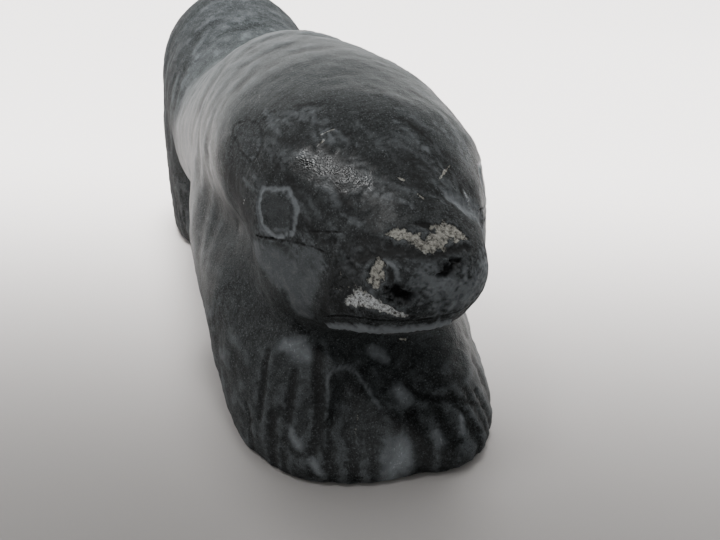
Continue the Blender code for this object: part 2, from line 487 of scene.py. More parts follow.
    def pits(self) -> Iterator[Mark]:
        """The small broken pits that make the end and the right side of the muzzle rough."""
        dice = np.random.default_rng(self.seed)
        for middle, spread, count in ((self.end, self.end_spread, self.end_pits),
                                      (self.flank, self.flank_spread, self.flank_pits)):
            for _ in range(count):
                start = np.array(middle) + dice.uniform(-1.0, 1.0, 3) * spread
                end = start + dice.normal(0.0, self.pit_run, 3)
                width = dice.uniform(*self.pit_widths)
                depth = dice.uniform(*self.pit_depths)
                stain = Stain.BURNISH_AND_HIGHLIGHT if dice.random() < self.pale_pits else Stain.GRIME_AND_SHADE
                path = ((*start, width), (*end, width * self.pit_end))
                yield Mark(path, depth, {stain: 0.4}, Tool.CHIP, ragged=0.4)

    def rasped(self) -> Iterator[Mark]:
        """The slanting scratches that a rasp left on the end of the muzzle, pale where it cut."""
        dice = np.random.default_rng(self.seed + 1)
        slant = np.array(self.streak_slant)
        for _ in range(self.streaks):
            middle = np.array(self.end) + dice.uniform(-1.0, 1.0, 3) * self.streak_spread
            reach = slant * dice.uniform(*self.streak_reaches)
            width = dice.uniform(*self.streak_widths)
            depth = dice.uniform(*self.streak_depths)
            stains = {Stain.BURNISH_AND_HIGHLIGHT: dice.uniform(*self.streak_stains)}
            path = tapered(middle, reach, width, self.streak_ends, self.streak_bow)
            yield Mark(path, depth, stains, Tool.GRAVER, ragged=0.35, crisp=1.6)

    def marks(self) -> Iterator[Mark]:
        """The strokes and breaks on the end of the muzzle."""
        # Painted shade on the muzzle's right side.
        yield Mark(self.side, 0.12, {Stain.GRIME_AND_SHADE: 0.5}, ragged=0.15)
        # Painted shade in the hollow at the top of that side.
        yield Mark(self.hollow, 0.22, {Stain.GRIME_AND_SHADE: 0.5}, crisp=1.4)
        yield Mark(self.face, 0.0, {Stain.BURNISH_AND_HIGHLIGHT: 1.05}, ragged=0.4, crisp=1.2)
        yield from self.pits()
        yield from self.rasped()
        # Painted shadow under the rim's ledge.
        yield Mark(self.rim_shadow, 0.16, {Stain.GRIME_AND_SHADE: 0.85}, ragged=0.35, crisp=1.5)
        yield Mark(self.rim, 0.16, {Stain.BRUISE: 0.85}, Tool.CHIP, ragged=0.3, crisp=1.7)
        yield Mark(self.rim_notch, 0.35, {Stain.GRIME_AND_SHADE: 1.0}, ragged=0.2, crisp=1.6)
        yield Mark(self.wing, 0.22, {Stain.BRUISE: 0.8}, Tool.CHIP, ragged=0.35, crisp=1.6)
        yield Mark(self.wing_groove, 0.16, {Stain.GRIME_AND_SHADE: 0.9}, ragged=0.25, crisp=1.5)
        yield Mark(self.wing_ridge, 0.0, {Stain.BURNISH_AND_HIGHLIGHT: 1.2}, Tool.GRAVER, ragged=0.25, crisp=1.5)
        yield Mark(self.lip, 0.14, {Stain.BRUISE: 1.0, Stain.BURNISH_AND_HIGHLIGHT: 1.0}, Tool.CHIP, ragged=0.25, crisp=2.2)
        yield Mark(self.lip_nick, 0.1, {Stain.BRUISE: 0.7}, Tool.CHIP, ragged=0.4, crisp=1.6)
        yield Mark(self.mouth, 0.22, {Stain.GRIME_AND_SHADE: 0.6}, ragged=0.2)
        yield Mark(self.chin, -0.32, {Stain.BURNISH_AND_HIGHLIGHT: 1.35}, ragged=0.2, crisp=1.7)
        yield Mark(self.right_nostril, 0.8, {Stain.GRIME_AND_SHADE: 1.0}, ragged=0.2, crisp=1.5)
        yield Mark(self.left_nostril, 0.45, {Stain.GRIME_AND_SHADE: 0.95}, ragged=0.3, crisp=1.4)


@dataclass(frozen=True)
class Brow:
    """The top of the head: nicks, the hollow beside the left eye with painted sheen in it and a painted
    highlight along its edge, and the pebbled stone between the eyes.
    """
    # The hollow beside the left eye; its pale colour is painted sheen.
    hollow: Route = ((3.1, -44.5, 29.7, 1.6), (4.7, -44.6, 28.4, 2.6), (7.4, -42.6, 26.0, 2.2))
    # A painted highlight along the edge of that hollow.
    edge: Route = (
        (5.2, -43.3, 29.0, 0.8), (5.8, -44.0, 27.8, 1.3), (6.7, -43.8, 26.4, 1.1), (7.8, -42.7, 25.0, 0.7))
    pebbled: Route = (
        (-7.4, -38.4, 32.0, 3.0), (-6.2, -39.9, 31.6, 4.4), (-4.6, -41.5, 31.2, 4.2),
        (-3.4, -42.6, 30.9, 3.0))
    bridge: Route = ((-3.4, -43.4, 30.2, 3.6), (-2.6, -44.5, 29.9, 4.4), (-2.9, -45.4, 29.0, 3.4))
    nicks: tuple[Route, ...] = (
        ((4.5, -41.7, 31.2, 0.16), (3.6, -42.6, 31.0, 0.42), (2.6, -43.5, 30.7, 0.16)),
        ((-2.1, -41.3, 32.5, 0.18), (-1.5, -41.3, 32.7, 0.3)),
        ((-5.8, -37.8, 33.8, 0.18), (-4.7, -37.9, 34.2, 0.28)),
        ((-6.4, -38.5, 33.0, 0.14), (-5.7, -38.4, 33.4, 0.2)),
        ((-1.0, -43.3, 31.3, 0.26), (-0.6, -43.6, 31.1, 0.36)),
        ((-2.4, -45.7, 29.1, 0.18), (-3.0, -46.1, 28.5, 0.18)),
        ((-2.5, -45.8, 29.0, 0.16), (-2.3, -46.3, 28.7, 0.16)),
        ((-4.8, -42.9, 29.9, 0.14), (-5.1, -43.3, 29.3, 0.14)),
        ((0.1, -44.8, 30.2, 0.26), (0.4, -45.2, 30.0, 0.32)),
        ((-12.0, -33.8, 27.5, 0.32), (-12.1, -33.3, 26.8, 0.34)),
        ((-6.9, -44.9, 24.7, 0.2), (-6.7, -45.1, 24.0, 0.26)),
        ((-6.6, -45.2, 23.6, 0.24), (-6.2, -45.7, 23.4, 0.32)),
        ((-7.0, -44.7, 22.9, 0.2), (-6.5, -45.4, 22.8, 0.26)))
    streaks: int = 170
    middle: Point = (-2.5, -38.5, 28.5)
    spread: Point = (9.5, 6.5, 5.0)
    along: Point = (0.45, -0.75, -0.35)
    stray: float = 0.25
    reaches: Pair = (0.8, 2.6)
    widths: Pair = (0.5, 1.3)
    ends: Pair = (0.5, 0.4)
    pale_share: float = 0.5
    palest: float = 0.7
    darkest: float = 1.0
    least: float = 0.3
    seed: int = 19

    def rubbed(self) -> Iterator[Mark]:
        """The faint pale and dark streaks that rubbing left along the head. They have no depth."""
        dice = np.random.default_rng(self.seed)
        for _ in range(self.streaks):
            middle = np.array(self.middle) + dice.uniform(-1.0, 1.0, 3) * self.spread
            heading = np.array(self.along) + dice.normal(0.0, self.stray, 3)
            reach = heading * dice.uniform(*self.reaches)
            width = dice.uniform(*self.widths)
            pale = dice.random() < self.pale_share
            stain, most = (Stain.BURNISH_AND_HIGHLIGHT, self.palest) if pale else (Stain.GRIME_AND_SHADE, self.darkest)
            stains = {stain: dice.uniform(self.least, 1.0) * most}
            path = tapered(middle, reach, width, self.ends)
            yield Mark(path, 0.0, stains, ragged=0.6, crisp=1.3)

    def marks(self) -> Iterator[Mark]:
        """The strokes on the top of the head."""
        yield from self.rubbed()
        # Painted sheen in the hollow and a painted highlight along its edge.
        yield Mark(self.hollow, 0.3, {Stain.BURNISH_AND_HIGHLIGHT: 1.0}, ragged=0.15, crisp=1.5)
        yield Mark(self.edge, 0.0, {Stain.BURNISH_AND_HIGHLIGHT: 1.3, Stain.BRUISE: 0.45}, ragged=0.1, crisp=1.2)
        for patch, amount in ((self.pebbled, 1.0), (self.bridge, 0.45)):
            yield Mark(patch, 0.0, {Stain.PEBBLE: amount}, ragged=0.35, crisp=1.1)
        for nick in self.nicks:
            yield Mark(nick, 0.06, {Stain.BRUISE: 0.95}, Tool.CHIP, ragged=0.25)


@dataclass(frozen=True)
class Ear:
    """The low ear: a flat face with a dark line round it."""
    rim: Route = (
        (-11.3, -27.5, 32.7, 0.5), (-10.2, -29.2, 33.5, 0.5), (-9.5, -31.9, 33.4, 0.5),
        (-9.9, -33.8, 32.5, 0.6), (-10.6, -34.2, 31.4, 0.6), (-11.1, -33.7, 30.7, 0.5),
        (-11.4, -31.2, 31.2, 0.5), (-11.6, -28.5, 31.8, 0.5))
    face: Route = ((-10.9, -29.9, 32.4, 2.2), (-10.9, -32.3, 31.8, 1.6))

    def marks(self) -> Iterator[Mark]:
        """The strokes of the bear's right ear."""
        yield Mark(self.face, 0.08, {Stain.BURNISH_AND_HIGHLIGHT: 0.1}, ragged=0.05)
        yield Mark(self.rim + self.rim[:2], 0.1, {Stain.GRIME_AND_SHADE: 0.3}, ragged=0.3)


@dataclass(frozen=True)
class Hewn:
    """The upright scraped strokes round a block of feet.

    A turn is in degrees, 0 towards the bear's nose. Tops and ends are shares of the height and of the width.
    """
    middle: Pair
    radius: float
    height: float
    every: float = 8.5
    turns: Pair = (-65.0, 250.0)
    stray: float = 3.0
    lean: float = 1.2
    slope: float = 2.5
    lift: float = 0.4
    widths: Pair = (1.6, 3.0)
    ends: Pair = (0.6, 0.8)
    tops: Pair = (0.7, 1.2)
    depths: Pair = (0.12, 0.3)
    stains: Pair = (0.0, 0.4)
    seed: int = 3

    def marks(self) -> Iterator[Mark]:
        """The strokes, each a little off from the last."""
        dice = np.random.default_rng(self.seed)
        for turn in np.arange(*self.turns, self.every):
            angle = math.radians(turn + dice.uniform(-self.stray, self.stray) - 90.0)
            out = np.array((math.cos(angle), math.sin(angle), 0.0))
            foot = np.array((*self.middle, 0.0)) + out * self.radius
            lean = dice.uniform(-self.lean, self.lean, 3) * (1.0, 1.0, 0.0)
            width = dice.uniform(*self.widths)
            top = self.height * dice.uniform(*self.tops)
            depth = dice.uniform(*self.depths)
            stains = {Stain.GRIME_AND_SHADE: dice.uniform(*self.stains)}
            path = ((*(foot - out * self.slope + lean + (0, 0, top)), width * self.ends[0]),
                    (*(foot + (0, 0, top * 0.5)), width), (*(foot + (0, 0, self.lift)), width * self.ends[1]))
            yield Mark(path, depth, stains, ragged=0.2)


@dataclass(frozen=True)
class Body:
    """The back, flanks and hind legs, with the long flats that the rasp left before the stone was rubbed.

    A flat lies somewhere in the stretch along the bear and round the ridge of its back, in radians. It sweeps
    round the body, which is taken as an oval of that girth about its axis, and drifts along it.
    """
    hewn: Hewn = Hewn((0.0, 29.5), 15.4, 7.0, turns=(0.0, 360.0), seed=5)
    flats: int = 150
    stretch: Pair = (-24.0, 47.0)
    around: Pair = (-1.9, 1.9)
    sweeps: Pair = (0.25, 0.6)
    drift: float = 1.8
    widths: Pair = (3.2, 5.4)
    taper: float = 0.4
    girth: Pair = (15.0, 16.0)
    axis: float = 23.0
    depths: Pair = (0.04, 0.12)
    stains: Pair = (0.03, 0.14)
    seed: int = 11

    def marks(self) -> Iterator[Mark]:
        """The strokes on the body, which run round it or along it."""
        dice = np.random.default_rng(self.seed)
        wide, high = self.girth
        for _ in range(self.flats):
            along = dice.uniform(*self.stretch)
            turn = dice.uniform(*self.around)
            sweep = dice.uniform(*self.sweeps)
            drift = dice.normal(0.0, self.drift)
            width = dice.uniform(*self.widths)
            path = tuple((wide * math.sin(turn + step * sweep), along + step * drift,
                          self.axis + high * math.cos(turn + step * sweep),
                          width * (1.0 - self.taper * abs(step))) for step in (-1.0, -0.5, 0.0, 0.5, 1.0))
            stain = Stain.BURNISH_AND_HIGHLIGHT if dice.random() < 0.5 else Stain.GRIME_AND_SHADE
            depth = dice.uniform(*self.depths)
            yield Mark(path, depth, {stain: dice.uniform(*self.stains)}, ragged=0.12, crisp=1.3)
        yield from self.hewn.marks()


@dataclass(frozen=True)
class Forelegs:
    """The block of the forelegs: its grooves, and the worn places on knees and feet, of which the one on the
    right knee is a painted highlight.
    """
    grooves: tuple[Route, ...] = (
        ((-6.7, -38.5, 13.0, 0.9), (-7.2, -39.7, 11.4, 1.2), (-7.5, -40.7, 8.9, 1.2), (-7.8, -41.9, 6.3, 1.1),
         (-7.9, -42.7, 4.5, 0.7)),
        ((-9.4, -39.1, 11.6, 0.6), (-10.1, -39.9, 9.0, 0.9), (-10.8, -40.5, 5.8, 0.6)),
        ((-11.3, -36.5, 12.8, 0.5), (-12.3, -37.6, 9.7, 0.8), (-13.0, -37.7, 5.7, 0.6)),
        ((1.4, -41.0, 8.5, 0.5), (2.2, -42.1, 7.8, 0.8), (4.4, -42.9, 7.4, 0.8), (6.9, -43.0, 6.7, 0.7),
         (10.2, -42.3, 4.4, 0.5)))
    edges: tuple[Route, ...] = (
        ((-4.1, -38.5, 10.5, 0.5), (-5.6, -39.5, 11.1, 0.6), (-6.4, -40.1, 10.6, 0.6),
         (-6.5, -41.1, 8.3, 0.5), (-6.8, -41.9, 6.2, 0.4)),
        ((-4.1, -38.5, 10.5, 0.5), (-2.9, -39.0, 9.6, 0.6), (-1.9, -40.1, 7.6, 0.6), (-1.0, -41.5, 5.8, 0.6),
         (-0.6, -42.5, 4.9, 0.5)))
    worn: tuple[Route, ...] = (
        # The first place, on the right knee, is a painted highlight; the others are pale worn spots.
        ((-9.7, -37.2, 13.5, 1.6), (-8.6, -37.9, 13.3, 2.8), (-8.1, -38.7, 12.8, 1.6)),
        ((-0.8, -37.3, 10.9, 1.2), (-0.0, -38.0, 10.6, 1.5), (0.3, -38.6, 10.2, 0.9)),
        ((0.6, -40.8, 8.0, 1.4), (1.0, -41.6, 7.5, 1.8)),
        ((-0.4, -44.1, 3.8, 2.6), (-1.0, -45.1, 2.6, 3.6), (-1.6, -45.2, 0.6, 2.4)),
        ((3.5, -44.6, 4.8, 1.0), (3.6, -45.2, 4.0, 1.3)),
        ((6.5, -44.0, 5.5, 0.9), (6.3, -44.8, 4.4, 1.1)),
        ((-10.7, -40.4, 6.2, 0.9), (-10.0, -41.5, 4.6, 1.1)),
        ((-9.1, -42.6, 3.2, 1.0), (-8.6, -43.2, 2.1, 1.1)))
    groove_breadth: float = 1.6
    worn_breadth: float = 1.3
    hewn: Hewn = Hewn((0.0, -31.0), 16.0, 7.0)
    scratch: Route = ((-3.5, -40.6, 5.9, 0.35), (-4.0, -41.4, 4.8, 0.55), (-4.6, -42.9, 4.0, 0.35))
    speck: Route = ((1.9, -38.4, 12.3, 0.4), (2.3, -38.6, 12.3, 0.4))

    def marks(self) -> Iterator[Mark]:
        """The strokes on the forelegs and front feet."""
        for groove in self.grooves:
            cut = Mark(groove, 0.24, {Stain.GRIME_AND_SHADE: 0.5}, ragged=0.1, crisp=1.1)
            yield cut.wider(self.groove_breadth)
        yield from self.hewn.marks()
        for edge in self.edges:
            yield Mark(edge, 0.0, {Stain.BURNISH_AND_HIGHLIGHT: 0.8}, crisp=1.3)
        # Pale rubbed places; the one on the right knee is a painted highlight.
        for place in self.worn:
            rub = Mark(place, 0.03, {Stain.BURNISH_AND_HIGHLIGHT: 1.2, Stain.BRUISE: 0.2}, ragged=0.15, crisp=1.1)
            yield rub.wider(self.worn_breadth)
        yield Mark(self.scratch, 0.12, {Stain.BRUISE: 0.4}, Tool.GRAVER)
        yield Mark(self.speck, 0.05, {Stain.BRUISE: 1.0}, Tool.CHIP)


@dataclass(frozen=True)
class Soapstone:
    """Dark soapstone, rasped and hand rubbed with wax.

    Talc makes it soft: it scratches pale and shows fine flecks. Where hands held it, it is dark and dull, and
    bare stone stays grey, a grey that is partly painted sheen. The pale and dark stains also carry painted
    highlights and painted shade. Its index of refraction is that of talc and chlorite. The sizes are those of
    the grain, the patches and the rasp's teeth, and the heights are those of their relief.
    """
    deep: str = "#060707"
    body: str = "#1a1e1f"
    patch: str = "#3a3e3f"
    # The unwaxed grey: partly dust, partly painted sheen.
    dry_and_sheen: str = "#3c4142"
    burnished_and_highlight: str = "#787d81"
    bruised: str = "#b4b2a9"
    chalk: str = "#dfe3e5"
    crushed: str = "#45423e"
    grime_and_shade: str = "#080909"
    ior: float = 1.57
    shine: float = 0.19
    waxed_roughness: float = 0.92
    waxed_swing: float = 0.12
    bare_roughness: float = 0.42
    pebbled_roughness: float = 0.3
    broken_roughness: float = 0.95
    ragged_break: float = 1.6
    broken_from: Pair = (1.05, 1.5)
    grain_size: float = 0.15
    patch_size: float = 1.1
    cloud_size: float = 6.0
    tooth_size: float = 0.4
    scratch_size: float = 0.16
    pebble_size: float = 0.16
    grain_height: float = 0.016
    patch_height: float = 0.07
    tooth_height: float = 0.03
    pebble_height: float = 0.06
    least_pebble: float = 0.4
    crushed_height: float = 0.09

    def patterns(self, tree: bpy.types.NodeTree) -> dict[str, Socket]:
        """Makes the patterns that colour, gloss and relief share, and reads the stains.

        Args:
            tree: The material's nodes.

        Returns:
            The output of each pattern and stain, by name.
        """
        where = add(tree, "ShaderNodeTexCoord").outputs["Object"]
        found = {stain.value: add(tree, "ShaderNodeAttribute", attribute_name=stain.value).outputs["Fac"]
                 for stain in Stain}
        ringed = add(tree, "ShaderNodeMapping",
                     {"Vector": where, "Scale": (0.09, 1.0, 0.09)}).outputs["Vector"]
        slanted = add(tree, "ShaderNodeMapping", {"Vector": where, "Rotation": (0.5, 0.9, 0.3),
                                                  "Scale": (1.0, 0.07, 0.6)}).outputs["Vector"]
        for name, size, vector, detail, rough, warp in (
                ("grain", self.grain_size, where, 2.0, 0.6, 0.0),
                ("patch", self.patch_size, where, 7.0, 0.68, 0.5),
                ("cloud", self.cloud_size, where, 4.0, 0.55, 0.8),
                ("teeth", self.tooth_size, ringed, 4.0, 0.65, 0.4),
                ("scratch", self.scratch_size, slanted, 3.0, 0.6, 1.2),
                ("crumb", self.grain_size * 2.0, where, 5.0, 0.75, 0.3)):
            found[name] = add(tree, "ShaderNodeTexNoise",
                              {"Vector": vector, "Scale": 1 / (size * MM), "Detail": detail,
                               "Roughness": rough, "Distortion": warp}).outputs["Fac"]
        found["pebbles"] = add(tree, "ShaderNodeTexVoronoi",
                               {"Vector": where, "Scale": 1 / (self.pebble_size * MM), "Smoothness": 0.6},
                               feature="SMOOTH_F1").outputs["Distance"]
        for name, source, start, full, most in (
                ("patches", "patch", 0.48, 0.68, 0.8), ("clouds", "cloud", 0.35, 0.65, 1.0),
                ("flecks", "grain", 0.6, 0.76, 0.6), ("pits", "grain", 0.46, 0.3, 0.8),
                ("mottle", "crumb", 0.51, 0.62, 0.9), ("tracks", "teeth", 0.35, 0.68, 1.0),
                ("scratches", "scratch", 0.6, 0.76, 0.34), ("worn", Stain.RIDGE.value, 0.2, 1.0, 0.3),
                ("sunk", Stain.RIDGE.value, -0.15, -1.0, 0.8), ("bare", Stain.WAX.value, 1.0, 0.0, 1.0),
                ("crumbs", "crumb", 0.38, 0.58, 1.0)):
            found[name] = add(tree, "ShaderNodeMapRange",
                              {"Value": found[source], "From Min": start, "From Max": full,
                               "To Max": most}).outputs["Result"]
        for name, source, times, plus in (
                ("rubbed", "patches", 0.45, 0.7), ("rubbed", "rubbed", found[Stain.BURNISH_AND_HIGHLIGHT.value], 0.0),
                ("dust_and_sheen", "tracks", 0.65, 0.35), ("dust_and_sheen", "dust_and_sheen", found["bare"], 0.0),
                ("streaked", "tracks", 0.6, 0.0)):
            found[name] = add(tree, "ShaderNodeMath", {0: found[source], 1: times, 2: plus},
                              operation="MULTIPLY_ADD", use_clamp=True).outputs["Value"]
        ragged = add(tree, "ShaderNodeMath",
                     {0: found["crumb"], 1: self.ragged_break, 2: found[Stain.BRUISE.value]},
                     operation="MULTIPLY_ADD").outputs["Value"]
        start, full = self.broken_from
        found["broken"] = add(tree, "ShaderNodeMapRange",
                              {"Value": ragged, "From Min": start, "From Max": full},
                              interpolation_type="SMOOTHSTEP").outputs["Result"]
        return found

    def colour(self, tree: bpy.types.NodeTree, found: dict[str, Socket]) -> Socket:
        """Lays the colours over each other, from the stone itself to the bruises.

        Args:
            tree: The material's nodes.
            found: The patterns and stains.

        Returns:
            The output that carries the colour.
        """
        chalky = add(tree, "ShaderNodeMix", {"Factor": found[Stain.BURNISH_AND_HIGHLIGHT.value], "A": linear(self.bruised),
                                             "B": linear(self.chalk)}, data_type="RGBA").outputs["Result"]
        pale = add(tree, "ShaderNodeMix", {"Factor": found["crumbs"], "A": linear(self.crushed), "B": chalky},
                   data_type="RGBA").outputs["Result"]
        laid = linear(self.deep)
        # The unwaxed grey layer is partly painted sheen; the rubbed layer and the dark stain also lay painted
        # highlights and painted shade.
        for share, over in (
                ("clouds", self.body), ("patches", self.patch), ("streaked", self.patch), ("dust_and_sheen", self.dry_and_sheen),
                ("worn", self.burnished_and_highlight), ("pits", self.grime_and_shade), ("sunk", self.grime_and_shade), ("mottle", self.patch),
                ("rubbed", self.burnished_and_highlight), ("flecks", self.burnished_and_highlight), ("scratches", self.burnished_and_highlight),
                (Stain.GRIME_AND_SHADE.value, self.grime_and_shade), ("broken", pale)):
            colour = linear(over) if isinstance(over, str) else over
            laid = add(tree, "ShaderNodeMix", {"Factor": found[share], "A": laid, "B": colour},
                       data_type="RGBA").outputs["Result"]
        return laid

    def gloss(self, tree: bpy.types.NodeTree, found: dict[str, Socket]) -> Socket:
        """Works out the roughness: dull where waxed, smoother where bare or pebbled, powdery where broken.

        Args:
            tree: The material's nodes.
            found: The patterns and stains.

        Returns:
            The output that carries the roughness.
        """
        waxed = self.waxed_roughness
        level = add(tree, "ShaderNodeMapRange", {"Value": found["patches"], "To Min": waxed,
                                                 "To Max": waxed - self.waxed_swing}).outputs["Result"]
        for share, over in (("bare", self.bare_roughness), (Stain.PEBBLE.value, self.pebbled_roughness),
                            ("broken", self.broken_roughness)):
            level = add(tree, "ShaderNodeMix",
                        {"Factor": found[share], "A": level, "B": over}).outputs["Result"]
        return level

    def relief(self, tree: bpy.types.NodeTree, found: dict[str, Socket]) -> Socket:
        """Adds up the fine relief, in millimetres, that is too small for the mesh.

        Args:
            tree: The material's nodes.
            found: The patterns and stains.

        Returns:
            The output that carries the bumped normal.
        """
        lumps = add(tree, "ShaderNodeMapRange", {"Value": found[Stain.PEBBLE.value],
                                                 "To Min": self.pebble_height * self.least_pebble,
                                                 "To Max": self.pebble_height}).outputs["Result"]
        crushed = add(tree, "ShaderNodeMath", {0: found["broken"], 1: self.crushed_height},
                      operation="MULTIPLY").outputs["Value"]
        height = add(tree, "ShaderNodeMath", {0: found["grain"], 1: self.grain_height},
                     operation="MULTIPLY").outputs["Value"]
        for name, scale in (("patch", self.patch_height), ("teeth", self.tooth_height), ("pebbles", lumps),
                            ("crumb", crushed)):
            height = add(tree, "ShaderNodeMath", {0: found[name], 1: scale, 2: height},
                         operation="MULTIPLY_ADD").outputs["Value"]
        return add(tree, "ShaderNodeBump",
                   {"Height": height, "Strength": 1.0, "Distance": MM}).outputs["Normal"]

    def material(self) -> bpy.types.Material:
        """Builds the material.

        Returns:
            The stone's material, which reads Object coordinates and the stains on the mesh.
        """
        made = bpy.data.materials.new("soapstone_waxed")
        made.use_nodes = True
        tree = made.node_tree
        tree.nodes.clear()
        found = self.patterns(tree)
        shader = add(tree, "ShaderNodeBsdfPrincipled",
                     {"Base Color": self.colour(tree, found), "Roughness": self.gloss(tree, found),
                      "Normal": self.relief(tree, found), "IOR": self.ior, "Metallic": 0.0,
                      "Specular IOR Level": self.shine})
        add(tree, "ShaderNodeOutputMaterial", {"Surface": shader.outputs["BSDF"]})
        return made


@dataclass(frozen=True)
class Handling:
    """Where hands rubbed the stone, where wax stayed on it, and where the rear is darkened as painted shade.

    The surface strays from the form by its wander, in broad and narrow waves. The pairs for legs, feet, rump
    and the rear's painted shade say where that place starts and over how much it fades in. The head's wax
    ends on a slant, and the lighter unwaxed grey behind it is partly painted sheen.
    """
    wander: float = 0.09
    waves: Pair = (3.2, 1.3)
    narrow: float = 0.5
    legs: Pair = (14.0, 5.0)
    legs_wavier: float = 1.2
    wax_end: float = -36.0
    wax_slant: float = 0.8
    wax_wander: float = 1.6
    wax_size: float = 4.0
    wax_fade: float = 4.0
    least_wax: float = 0.15
    feet: Pair = (16.0, 7.0)
    feet_side: float = 8.0
    feet_wax: Pair = (0.1, 0.75)
    rump: Pair = (4.0, 14.0)
    # Painted shade: where the darkening towards the rear starts and over how much it fades in.
    rear_shade: Pair = (10.0, 12.0)
    rear_shade_most: float = 0.5

    def lay(self, skin: Skin) -> None:
        """Lays the slight waves of hand rubbing over the form, sets where the wax went, and darkens the rear
        as painted shade.

        Args:
            skin: The surface.
        """
        x, y, z = skin.places.T
        broad, narrow = self.waves
        waves = skin.grain(broad) + self.narrow * skin.grain(narrow)
        legs = part_way(self.legs[0] - z, self.legs[1])
        height = waves * self.wander * (1.0 + self.legs_wavier * legs) - self.wander
        skin.places += skin.facing * height[:, None]
        # The head's dark waxed zone ends along this slant; the lighter unwaxed grey behind it, on the neck
        # and back, is partly painted sheen.
        line = y + self.wax_slant * x - self.wax_end + self.wax_wander * skin.grain(self.wax_size)
        head = np.clip(0.5 - line / self.wax_fade, self.least_wax, 1.0)
        # Less wax on the bear's left foreleg, so its lighter unwaxed grey there is partly a painted
        # highlight.
        feet = part_way(self.feet[0] - z, self.feet[1]) * np.clip(1.0 - x / self.feet_side, *self.feet_wax)
        rump = part_way(y - self.rump[0], self.rump[1])
        skin.stains[Stain.WAX] = np.maximum(np.maximum(head, feet), rump)
        # Painted shade: the stone is darkened towards the rear, from the flanks back to the rump.
        skin.stains[Stain.GRIME_AND_SHADE] = self.rear_shade_most * part_way(y - self.rear_shade[0], self.rear_shade[1])


@dataclass
class Bear:
    """The whole carving, one piece of stone.

    Attributes:
        node: The CAD form.
        grid: The mesh size that the CAD form is rebuilt at.
        rubs: How many times it is rubbed smooth, which takes the facets away.
        levels: How many times the mesh may be halved where a fine stroke runs.
        slack: How many times longer than a stroke asks the mesh's edges may stay.
        margin: How far from a stroke the mesh is halved, in widths.
        spacing: The distance between the places along a stroke where it is halved.
        fine_zones: Balls that are halved whole, each with the edge length wanted there.
        wear_rounds: How many times the relief is averaged to find the worn ridges.
        wear_full: How far a fully worn ridge stands out.
    """
    node: bpy.types.Object
    grid: float = 0.66
    rubs: int = 12
    levels: int = 3
    slack: float = 1.4
    margin: float = 0.6
    spacing: float = 0.3
    fine_zones: tuple[tuple[Spot, float], ...] = (
        ((0.0, -38.0, 25.0, 30.0), 0.3), ((0.0, -47.0, 24.0, 14.0), 0.15))
    wear_rounds: int = 14
    wear_full: float = 0.06
    eye: Eye = Eye()
    cheek: Cheek = Cheek()
    ear: Ear = Ear()
    muzzle: Muzzle = Muzzle()
    brow: Brow = Brow()
    forelegs: Forelegs = Forelegs()
    body: Body = Body()
    handling: Handling = Handling()
    finish: Soapstone = Soapstone()

    def marks(self) -> list[Mark]:
        """Every stroke on the bear, with those of the right eye, cheek and ear also on its left side."""
        paired = [*self.ear.marks(), *self.eye.marks(), *self.cheek.marks()]
        sides = [*(mark.mirrored() for mark in paired), *paired]
        return [*self.body.marks(), *self.brow.marks(), *sides, *self.forelegs.marks(), *self.muzzle.marks()]

    def form(self) -> bpy.types.Object:
        """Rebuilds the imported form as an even, smooth mesh.

        Returns:
            The new object.
        """
        rough = bmesh.new()
        rough.from_mesh(self.node.data)
        bmesh.ops.remove_doubles(rough, verts=rough.verts, dist=0.001 * MM)
        made = new_object("carved_bear", rough)
        fused = made.modifiers.new("fused", "REMESH")
        fused.mode = "VOXEL"
        fused.voxel_size = self.grid * MM
        rubbed = made.modifiers.new("rubbed", "SMOOTH")
        rubbed.factor = 0.5
        rubbed.iterations = self.rubs
        smooth = made.evaluated_get(bpy.context.evaluated_depsgraph_get()).to_mesh()
        dense = bmesh.new()
        dense.from_mesh(smooth)
        made.modifiers.clear()
        dense.to_mesh(made.data)
        dense.free()
        return made

    def refine(self, made: bpy.types.Object, marks: list[Mark]) -> None:
        """Halves the mesh near the strokes until each stroke can show.

        Args:
            made: The object to refine.
            marks: The strokes.
        """
        spots = [(spot, mark.finest()) for mark in marks if mark.depth for spot in mark.filled(self.spacing)]
        spots += self.fine_zones
        dense = bmesh.new()
        dense.from_mesh(made.data)
        for level in range(self.levels):
            edge = self.grid / 2 ** level
            centres = [face.calc_center_median() for face in dense.faces]
            index = KDTree(len(centres))
            for number, centre in enumerate(centres):
                index.insert(centre, number)
            index.balance()
            dense.faces.ensure_lookup_table()
            wanted = set()
            for (x, y, z, width), finest in spots:
                if edge > finest * self.slack:
                    reach = (width * self.margin + edge) * MM
                    wanted.update(hit[1] for hit in index.find_range(Vector((x, y, z)) * MM, reach))
            if not wanted:
                break
            edges = list({e for number in wanted for e in dense.faces[number].edges})
            grown = bmesh.ops.subdivide_edges(dense, edges=edges, cuts=1, use_grid_fill=True)
            fresh = [v for v in grown["geom_inner"] if isinstance(v, bmesh.types.BMVert)]
            bmesh.ops.smooth_vert(dense, verts=fresh, factor=0.5,
                                  use_axis_x=True, use_axis_y=True, use_axis_z=True)
        bmesh.ops.triangulate(dense, faces=dense.faces)
        dense.to_mesh(made.data)
        dense.free()

    def build(self) -> bpy.types.Object:
        """Makes the carving, in place of the CAD form.

        Returns:
            The finished object.
        """
        low, high = (np.array(corner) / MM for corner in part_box("bear"))
        marks = self.marks()
        made = self.form()
        self.refine(made, marks)
        skin = Skin(made.data)
        self.handling.lay(skin)
        for mark in marks:
            skin.press(mark)
        skin.places = np.clip(skin.places, low, high)
        skin.wear(self.wear_rounds, self.wear_full)
        skin.write()
        made.data.materials.clear()
        made.data.materials.append(self.finish.material())
        made.data.polygons.foreach_set("use_smooth", [True] * len(made.data.polygons))
        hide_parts("bear")
        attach(made, "root")
        LOG.info("%s: %d triangles", made.name, len(made.data.polygons))
        return made


